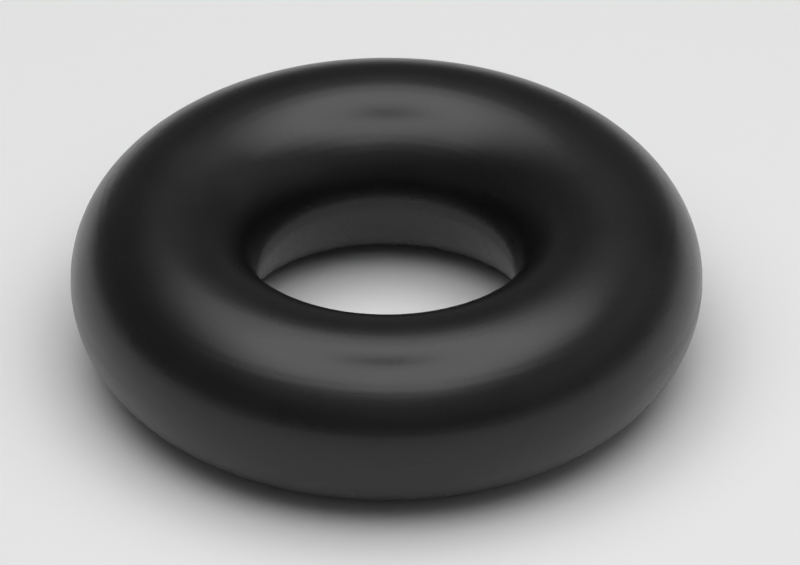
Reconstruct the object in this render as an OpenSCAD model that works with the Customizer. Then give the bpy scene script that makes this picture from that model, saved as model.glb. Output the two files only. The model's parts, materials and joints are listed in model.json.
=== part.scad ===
// Moulded rubber O-ring: one solid of revolution about +Z.
// The origin is the centre of the bore, on the plane where the two halves of
// the mould met. The ring lies flat, on a circle under the middle of its section.

/* [Seal] */
// Bore of the free, unstretched ring, gauged across its parting line
inner_d = 3.63; // [1:0.01:50]
// Diameter of the round section, the cord of the ring
section_d = 2.62; // [1:0.01:7]

/* [Parting line] */
// Height of the narrow land that trimming the flash leaves in the bore
bore_land_h = 0.16; // [0.05:0.01:0.4]
// Height of the land that trimming leaves round the rim
rim_land_h = 0.16; // [0.05:0.01:0.4]

/* [Hidden] */

// How finely the curves are drawn
facets = 180;

// Distance from the middle of the section to a chord of it
function chord_distance(chord) = sqrt(pow(section_d / 2, 2) - pow(chord / 2, 2));

// The trimmed bore is what a gauge meets, so the ring is laid out from it
bore_r = inner_d / 2;
centreline_r = bore_r + chord_distance(bore_land_h);
rim_r = centreline_r + chord_distance(rim_land_h);

// The two half-round grooves of the closed mould give a full circle
module moulded_section() {
    translate([centreline_r, 0])
        circle(d = section_d, $fn = facets);
}

// Flash squeezes out at the parting line, inside and outside. Trimming it takes
// the section back to two short upright lands, one in the bore, one on the rim.
module trimmed_section() {
    intersection() {
        moulded_section();
        translate([bore_r, -section_d])
            square([rim_r - bore_r, 2 * section_d]);
    }
}

module o_ring() {
    color([0.11, 0.11, 0.11])
        rotate_extrude($fn = facets)
            trimmed_section();
}

o_ring();
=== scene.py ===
import json
import math

import bpy
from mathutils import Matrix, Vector


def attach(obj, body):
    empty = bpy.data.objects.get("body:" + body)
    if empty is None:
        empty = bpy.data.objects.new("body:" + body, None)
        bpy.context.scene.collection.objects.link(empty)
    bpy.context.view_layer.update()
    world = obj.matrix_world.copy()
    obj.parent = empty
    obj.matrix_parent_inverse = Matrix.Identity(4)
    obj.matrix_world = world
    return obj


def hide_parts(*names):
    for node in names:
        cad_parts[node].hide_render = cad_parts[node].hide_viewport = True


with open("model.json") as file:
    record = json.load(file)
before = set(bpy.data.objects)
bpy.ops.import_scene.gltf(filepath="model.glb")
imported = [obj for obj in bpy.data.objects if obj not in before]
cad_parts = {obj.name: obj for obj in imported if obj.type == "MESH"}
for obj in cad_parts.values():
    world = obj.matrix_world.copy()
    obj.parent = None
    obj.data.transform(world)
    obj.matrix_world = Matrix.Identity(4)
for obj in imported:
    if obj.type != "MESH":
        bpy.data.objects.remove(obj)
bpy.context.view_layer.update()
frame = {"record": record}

# Camera. The ring is seen from the front and well above. Its far side is drawn exactly as
# large as its near side, so the view is a parallel one, without perspective.
MM = 0.001
picture_px = (800, 565)
ring_centre_px = (386.5, 279.4)
px_per_mm = 71.3
camera_elevation = math.radians(35.2)
camera_distance = 200 * MM

to_camera = Vector((0, -math.cos(camera_elevation), math.sin(camera_elevation)))
picture_up = Vector((0, math.sin(camera_elevation), math.cos(camera_elevation)))
aim = Vector((picture_px[0] / 2 - ring_centre_px[0], 0, 0)) / px_per_mm * MM
aim -= picture_up * (picture_px[1] / 2 - ring_centre_px[1]) / px_per_mm * MM

camera = bpy.data.objects.new("camera", bpy.data.cameras.new("camera"))
camera.data.type = "ORTHO"
camera.data.ortho_scale = picture_px[0] / px_per_mm * MM
camera.location = aim + to_camera * camera_distance
camera.rotation_euler = to_camera.to_track_quat("Z", "Y").to_euler()
bpy.context.collection.objects.link(camera)
bpy.context.scene.camera = camera
bpy.context.scene.view_settings.view_transform = "Standard"


# Floor. A sheet of white matt board, which the ring lies on. It is so large that its edge
# isn't seen from low down either.
def linear(hex_colour):
    """The linear red, green, blue and alpha of an sRGB colour such as 1a1a1a."""
    parts = [int(hex_colour[i:i + 2], 16) / 255 for i in (0, 2, 4)]
    return [p / 12.92 if p <= 0.04045 else ((p + 0.055) / 1.055) ** 2.4 for p in parts] + [1]


def add(tree, kind, settings=None, links=None):
    """Adds a node, sets its properties and inputs, by name or number, and links its inputs."""
    node = tree.nodes.new(kind)
    for name, value in (settings or {}).items():
        if isinstance(name, int) or name in node.inputs:
            node.inputs[name].default_value = value
        else:
            setattr(node, name, value)
    for name, source in (links or {}).items():
        tree.links.new(source, node.inputs[name])
    return node


def new_material(name):
    """An empty node material, as its node tree and its output node."""
    material = bpy.data.materials.new(name)
    material.use_nodes = True
    material.node_tree.nodes.clear()
    return material, add(material.node_tree, "ShaderNodeOutputMaterial")


mounts = {m["name"]: m["dims"] for m in frame["record"]["mounts"]}
bore_r = mounts["bore"]["r_mm"] * MM
rim_r = mounts["rim"]["r_mm"] * MM
land_height = mounts["bore"]["length_mm"] * MM
section_r = math.hypot((rim_r - bore_r) / 2, land_height / 2)
board_r = 300 * MM
board_sides = 96
board_white = linear("e4e4e4")
board_ior = 1.3
matt_roughness = 0.9

bpy.ops.object.select_all(action="DESELECT")
bpy.ops.mesh.primitive_circle_add(
    vertices=board_sides, radius=board_r, fill_type="NGON", location=(0, 0, -section_r))
floor = bpy.context.object
floor.name = "floor"
board, board_out = new_material("white matt board")
paper = add(board.node_tree, "ShaderNodeBsdfPrincipled", {
    "Base Color": board_white, "Roughness": matt_roughness, "IOR": board_ior})
board.node_tree.links.new(paper.outputs[0], board_out.inputs["Surface"])
floor.data.materials.append(board)


# Light. A small diffuser of a square sheet and a round one hangs close above the ring, with
# the dark head of its stand under it. Two round soft boxes, one of them wide and faint, hang
# high above them, and a dim reflector stands on the right.
diffuser_centre = Vector((1.2 * MM, -2.4 * MM, 34 * MM))
diffuser_turn = math.radians(-23)
square_width = 48 * MM
square_radiance = 0.72
round_width = 64 * MM
round_radiance = 0.82
box_centre = Vector((19 * MM, -31 * MM, 400 * MM))
box_width = 470 * MM
box_radiance = 0.85
faint_box_centre = Vector((355 * MM, -211 * MM, 402 * MM))
faint_box_width = 1770 * MM
faint_box_radiance = 0.142
sheet_gap = Vector((0, 0, 1 * MM))
stand_head_centre = Vector((-0.25 * MM, -0.9 * MM, 33 * MM))
stand_head_width = 7.9 * MM
stand_head_sides = 64
card_black = linear("202020")
reflector_distance = 900 * MM
reflector_width = 1600 * MM
reflector_height = 700 * MM
reflector_radiance = 0.1
room_radiance = 0.11


def soft_lamp(name, shape, width, height, radiance):
    """An area lamp that looks equally bright all over, at the given radiance."""
    lamp = bpy.data.lights.new(name, "AREA")
    lamp.shape = shape
    lamp.size = width
    lamp.size_y = height
    area = width * height * (math.pi / 4 if shape == "DISK" else 1)
    lamp.energy = radiance * math.pi * area
    lamp_object = bpy.data.objects.new(name, lamp)
    bpy.context.collection.objects.link(lamp_object)
    return lamp_object


for name, shape, centre, width, radiance in (
        ("square sheet", "SQUARE", diffuser_centre, square_width, square_radiance),
        ("round sheet", "DISK", diffuser_centre + sheet_gap, round_width, round_radiance),
        ("soft box", "DISK", box_centre, box_width, box_radiance),
        ("faint soft box", "DISK", faint_box_centre, faint_box_width, faint_box_radiance)):
    lamp = soft_lamp(name, shape, width, width, radiance)
    lamp.location = centre
    lamp.rotation_euler.z = diffuser_turn
reflector = soft_lamp(
    "side reflector", "RECTANGLE", reflector_width, reflector_height, reflector_radiance)
reflector.location = (reflector_distance, 0, reflector_height / 2)
reflector.rotation_euler = (math.radians(90), 0, math.radians(90))

bpy.ops.object.select_all(action="DESELECT")
bpy.ops.mesh.primitive_circle_add(
    vertices=stand_head_sides, radius=stand_head_width / 2, fill_type="NGON",
    location=stand_head_centre)
stand_head = bpy.context.object
stand_head.name = "stand_head"
black_card, black_card_out = new_material("black matt card")
card = add(black_card.node_tree, "ShaderNodeBsdfPrincipled", {
    "Base Color": card_black, "Roughness": matt_roughness})
black_card.node_tree.links.new(card.outputs[0], black_card_out.inputs["Surface"])
stand_head.data.materials.append(black_card)

# Below the horizon the room is as pale as the board looks 23 mm from the ring. A camera that
# is as near and as low as that sees under the board, and then no edge shows there. The board
# keeps this light off the ring.
below_horizon_radiance = linear("d9d9d9")[0]
room = bpy.data.worlds.new("room")
room.use_nodes = True
room.node_tree.nodes.clear()
towards = add(room.node_tree, "ShaderNodeTexCoord").outputs["Object"]
rise = add(room.node_tree, "ShaderNodeSeparateXYZ", None, {"Vector": towards}).outputs["Z"]
below = add(room.node_tree, "ShaderNodeMath", {"operation": "LESS_THAN", 1: 0}, {0: rise})
strength = add(room.node_tree, "ShaderNodeMix", {
    "data_type": "FLOAT", 2: room_radiance, 3: below_horizon_radiance},
    {0: below.outputs[0]})
air = add(room.node_tree, "ShaderNodeBackground", {"Color": (1, 1, 1, 1)}, {
    "Strength": strength.outputs[0]})
room_out = add(room.node_tree, "ShaderNodeOutputWorld", None, {"Surface": air.outputs[0]})
bpy.context.scene.world = room


# O-ring. One piece of black nitrile rubber, compression moulded between two half-round
# grooves. Trimming the flash has left a narrow flat land in the bore and round the rim.
centreline_r = (bore_r + rim_r) / 2
section_sides = 128
ring_steps = 384
# Trimming takes off only 0.002 mm, far less than bisect would notice with its own threshold.
touching_distance = 0.0001 * MM

bpy.ops.object.select_all(action="DESELECT")
bpy.ops.mesh.primitive_circle_add(
    vertices=section_sides, radius=section_r, fill_type="NGON",
    location=(centreline_r, 0, 0), rotation=(math.pi / 2, 0, 0))
ring = bpy.context.object
ring.name = "moulded_ring"
ring.data.name = "moulded_ring"
bpy.ops.object.transform_apply(location=True, rotation=True, scale=True)
bpy.ops.object.mode_set(mode="EDIT")
for land_r, outwards in ((bore_r, -1), (rim_r, 1)):
    bpy.ops.mesh.select_all(action="SELECT")
    bpy.ops.mesh.bisect(
        plane_co=(land_r, 0, 0), plane_no=(outwards, 0, 0), clear_outer=True,
        threshold=touching_distance)
bpy.ops.mesh.select_all(action="SELECT")
bpy.ops.mesh.delete(type="ONLY_FACE")
bpy.ops.mesh.select_all(action="SELECT")
bpy.ops.mesh.spin(steps=ring_steps, angle=2 * math.pi, center=(0, 0, 0), axis=(0, 0, 1))
bpy.ops.mesh.select_all(action="SELECT")
bpy.ops.mesh.remove_doubles(threshold=touching_distance)
bpy.ops.mesh.normals_make_consistent(inside=False)
bpy.ops.object.mode_set(mode="OBJECT")
bpy.ops.object.shade_smooth()

# Black nitrile rubber, compression moulded and left as it came out of the mould: a deep
# black with a satin gloss. The eye gets a highlight with soft edges, a trace of grain in
# it, faint lines that run round the ring, because the mould was turned, and a wax bloom
# that dulls the gloss a little in patches. The trimmed lands are duller than the rest.
rubber_black = linear("0d0d0d")
bloomed_black = linear("111111")
rubber_ior = 1.5
gloss_roughness = 0.265
bloomed_roughness = 0.3
trimmed_roughness = 0.32
bloom_size = 0.9 * MM
# The bloom's noise lies mostly between these two values.
bloom_from = 0.35
bloom_to = 0.65
# The real grain is about 0.01 mm across and the real lines about 0.05 mm apart, both too
# fine to show here, so they are drawn coarser.
grain_size = 0.035 * MM
grain_depth = 0.0008 * MM
turning_pitch = 0.11 * MM
turning_depth = 0.0014 * MM

rubber, rubber_out = new_material("moulded nitrile rubber")
tree = rubber.node_tree
# The turning lines follow the distance from the axis and the height alone, so they run round.
place = add(tree, "ShaderNodeTexCoord").outputs["Object"]
height = add(tree, "ShaderNodeSeparateXYZ", None, {"Vector": place}).outputs["Z"]
across = add(tree, "ShaderNodeVectorMath", {"operation": "MULTIPLY", 1: (1, 1, 0)}, {0: place})
from_axis = add(tree, "ShaderNodeVectorMath", {"operation": "LENGTH"}, {0: across.outputs[0]})
in_section = add(tree, "ShaderNodeCombineXYZ", None, {
    "X": from_axis.outputs["Value"], "Z": height})

bloom = add(tree, "ShaderNodeTexNoise", {
    "Scale": 1 / bloom_size, "Detail": 3}, {"Vector": place})
grain = add(tree, "ShaderNodeTexNoise", {
    "Scale": 1 / grain_size, "Detail": 2}, {"Vector": place})
turning = add(tree, "ShaderNodeTexNoise", {
    "Scale": 1 / turning_pitch, "Detail": 1}, {"Vector": in_section.outputs[0]})
from_parting = add(tree, "ShaderNodeMath", {"operation": "ABSOLUTE"}, {0: height})
trimmed = add(tree, "ShaderNodeMath", {
    "operation": "LESS_THAN", 1: land_height / 2}, {0: from_parting.outputs[0]})

colour = add(tree, "ShaderNodeMix", {
    "data_type": "RGBA", 6: rubber_black, 7: bloomed_black}, {0: bloom.outputs["Fac"]})
skin = add(tree, "ShaderNodeMapRange", {
    "From Min": bloom_from, "From Max": bloom_to,
    "To Min": gloss_roughness, "To Max": bloomed_roughness}, {"Value": bloom.outputs["Fac"]})
roughness = add(tree, "ShaderNodeMix", {"data_type": "FLOAT", 3: trimmed_roughness}, {
    0: trimmed.outputs[0], 2: skin.outputs[0]})
lines = add(tree, "ShaderNodeBump", {"Distance": turning_depth}, {
    "Height": turning.outputs["Fac"]})
relief = add(tree, "ShaderNodeBump", {"Distance": grain_depth}, {
    "Height": grain.outputs["Fac"], "Normal": lines.outputs[0]})
satin = add(tree, "ShaderNodeBsdfPrincipled", {"IOR": rubber_ior}, {
    "Base Color": colour.outputs[2], "Roughness": roughness.outputs[0],
    "Normal": relief.outputs[0]})
tree.links.new(satin.outputs[0], rubber_out.inputs["Surface"])
ring.data.materials.append(rubber)

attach(ring, "root")
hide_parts("o_ring")
